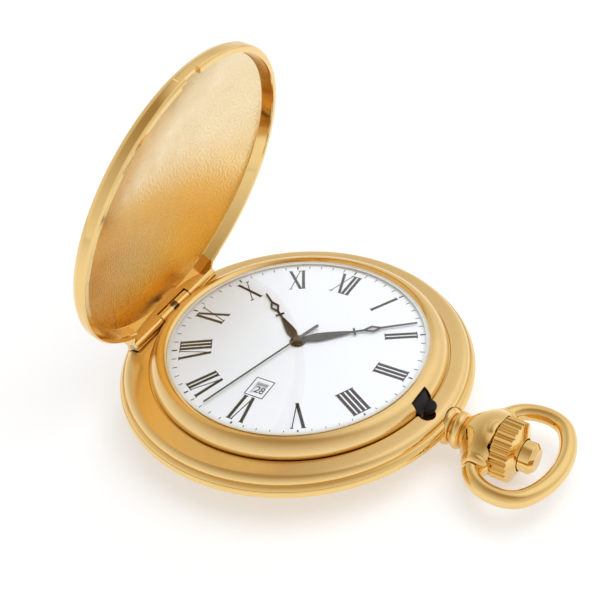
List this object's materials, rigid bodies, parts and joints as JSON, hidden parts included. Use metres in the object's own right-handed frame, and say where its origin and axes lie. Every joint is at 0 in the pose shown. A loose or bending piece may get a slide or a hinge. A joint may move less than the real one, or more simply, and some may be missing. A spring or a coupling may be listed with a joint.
{
  "type": "hunter-case quartz pocket watch",
  "caption": "Gold hunter-case quartz pocket watch, lid sprung open, Roman dial with date window, push-button crown inside a round bow",
  "frame": {"origin": "centre of the case back's flat rest face, on the dial's axis", "axes": "+Z out of the dial, -Z out of the flat back the watch lies on, +X towards the dial's three o'clock with the lid's hinge parallel to Y on the -X side; the pendant line is turned 4.45 degrees from +X towards -Y"},
  "size_m": [0.0649, 0.0494, 0.0495],
  "materials": {
    "gold_polished": "polished",
    "black_rubber": "matte",
    "crystal_glass": "polished",
    "pale_plastic": "matte",
    "white_lacquer": "gloss",
    "black_ink": "satin",
    "black_lacquer": "gloss",
    "steel": "satin",
    "black_steel": "satin",
    "nickel_plate": "satin",
    "brass": "satin",
    "circuit_green": "gloss",
    "black_plastic": "matte",
    "copper": "satin",
    "magnet": "satin"
  },
  "bodies": {
    "case": {"case_middle": "gold_polished", "case_back": "gold_polished", "bezel": "gold_polished", "pendant": "gold_polished", "back_gasket": "black_rubber", "crown_gasket": "black_rubber", "crystal": "crystal_glass", "crystal_gasket": "pale_plastic", "movement_ring": "pale_plastic", "dial": "white_lacquer", "hour_numerals": "black_ink", "minute_track": "black_ink", "date_frame": "black_ink", "hinge_pin": "steel", "lift_spring": "black_steel", "spring_screws": "steel", "crown_tube": "steel", "main_plate": "nickel_plate", "train_bridge": "brass", "bridge_screws": "steel", "circuit_board": "circuit_green", "quartz_can": "steel", "driver_chip": "black_plastic", "coil_core": "steel", "coil_winding": "copper", "stator": "steel", "date_plate": "steel", "date_jumper": "steel", "battery": "steel", "battery_clamp": "brass", "casing_clamps": "steel", "casing_screws": "steel"},
    "lid": {"front_lid": "gold_polished"},
    "bow": {"bow": "gold_polished"},
    "clutch": {"clutch_pinion": "steel"},
    "crown": {"crown": "gold_polished", "cross_pin": "steel", "winding_stem": "steel"},
    "button": {"push_button": "gold_polished"},
    "catch": {"lid_catch": "black_steel"},
    "setting_lever": {"setting_lever": "steel"},
    "setting_wheel": {"setting_wheel": "steel"},
    "seconds": {"seconds_wheel": "brass", "second_hand": "black_lacquer"},
    "rotor": {"rotor": "magnet"},
    "intermediate": {"intermediate_wheel": "brass"},
    "third": {"third_wheel": "brass"},
    "centre": {"centre_wheel": "brass", "minute_hand": "black_lacquer"},
    "minute_wheel": {"minute_wheel": "brass"},
    "hour": {"hour_wheel": "brass", "hour_hand": "black_lacquer"},
    "date_drive": {"date_drive_wheel": "pale_plastic"},
    "date_ring": {"date_ring": "white_lacquer", "date_numbers": "black_ink"}
  },
  "joints": [
    {"name": "lid_hinge", "type": "hinge", "parent": "case", "child": "lid", "pos_m": [-0.02141, 0, 0.00792], "axis": [0, -1, 0], "range_deg": [-72.8, 0], "stiffness_Nm_per_rad": 0.003, "springref_deg": 34.38},
    {"name": "bow_pivot", "type": "hinge", "parent": "case", "child": "bow", "pos_m": [0.02911, -0.00227, 0.0044], "axis": [0.0776, 0.997, 0], "range_deg": [-115, 115]},
    {"name": "crown_spin", "type": "hinge", "parent": "case", "child": "clutch", "pos_m": [0.02991, -0.00233, 0.0044], "axis": [0.997, -0.0776, 0], "continuous": true},
    {"name": "crown_pull_slide", "type": "slide", "parent": "clutch", "child": "crown", "axis": [0.997, -0.0776, 0], "range_m": [0, 0.0016]},
    {"name": "button_press", "type": "slide", "parent": "crown", "child": "button", "axis": [-0.997, 0.0776, 0], "range_m": [0, 0.0006], "stiffness_N_per_m": 2000, "springref_m": -0.0005},
    {"name": "catch_slide", "type": "slide", "parent": "case", "child": "catch", "axis": [-0.997, 0.0776, 0], "range_m": [0, 0.0006]},
    {"name": "lever_swing", "type": "hinge", "parent": "case", "child": "setting_lever", "pos_m": [0.01205, 0.00207, 0.0054], "axis": [0, 0, 1], "range_deg": [0, 30]},
    {"name": "setting_spin", "type": "hinge", "parent": "case", "child": "setting_wheel", "pos_m": [0.00598, -0.00047, 0.006], "axis": [0, 0, 1], "continuous": true},
    {"name": "seconds_spin", "type": "hinge", "parent": "case", "child": "seconds", "pos_m": [0, 0, 0.006], "axis": [0, 0, -1], "continuous": true},
    {"name": "rotor_spin", "type": "hinge", "parent": "case", "child": "rotor", "pos_m": [-0.00239, -0.00356, 0.006], "axis": [0, 0, -1], "continuous": true},
    {"name": "intermediate_spin", "type": "hinge", "parent": "case", "child": "intermediate", "pos_m": [-0.00173, -0.0021, 0.006], "axis": [0, 0, -1], "continuous": true},
    {"name": "third_spin", "type": "hinge", "parent": "case", "child": "third", "pos_m": [0.00113, 0.00248, 0.006], "axis": [0, 0, -1], "continuous": true},
    {"name": "centre_spin", "type": "hinge", "parent": "case", "child": "centre", "pos_m": [0, 0, 0.006], "axis": [0, 0, -1], "continuous": true},
    {"name": "minute_wheel_spin", "type": "hinge", "parent": "case", "child": "minute_wheel", "pos_m": [0.00279, -0.00022, 0.006], "axis": [0, 0, -1], "continuous": true},
    {"name": "hour_spin", "type": "hinge", "parent": "case", "child": "hour", "pos_m": [0, 0, 0.006], "axis": [0, 0, -1], "continuous": true},
    {"name": "date_drive_spin", "type": "hinge", "parent": "case", "child": "date_drive", "pos_m": [-0.00554, 0.0038, 0.006], "axis": [0, 0, -1], "continuous": true},
    {"name": "date_ring_spin", "type": "hinge", "parent": "case", "child": "date_ring", "pos_m": [0, 0, 0.006], "axis": [0, 0, -1], "continuous": true}
  ],
  "couplings": [
    {"joint": "catch_slide", "follows": "button_press", "ratio": 1},
    {"joint": "lever_swing", "follows": "crown_pull_slide", "rad_per_m": 325.75},
    {"joint": "setting_spin", "follows": "crown_spin", "ratio": 0.61538},
    {"joint": "rotor_spin", "follows": "seconds_spin", "ratio": 30},
    {"joint": "intermediate_spin", "follows": "seconds_spin", "ratio": -7.5},
    {"joint": "third_spin", "follows": "seconds_spin", "ratio": -0.13333},
    {"joint": "centre_spin", "follows": "seconds_spin", "ratio": 0.016667},
    {"joint": "minute_wheel_spin", "follows": "seconds_spin", "ratio": -0.0055556},
    {"joint": "hour_spin", "follows": "seconds_spin", "ratio": 0.0013889},
    {"joint": "date_drive_spin", "follows": "seconds_spin", "ratio": -0.00069444}
  ]
}
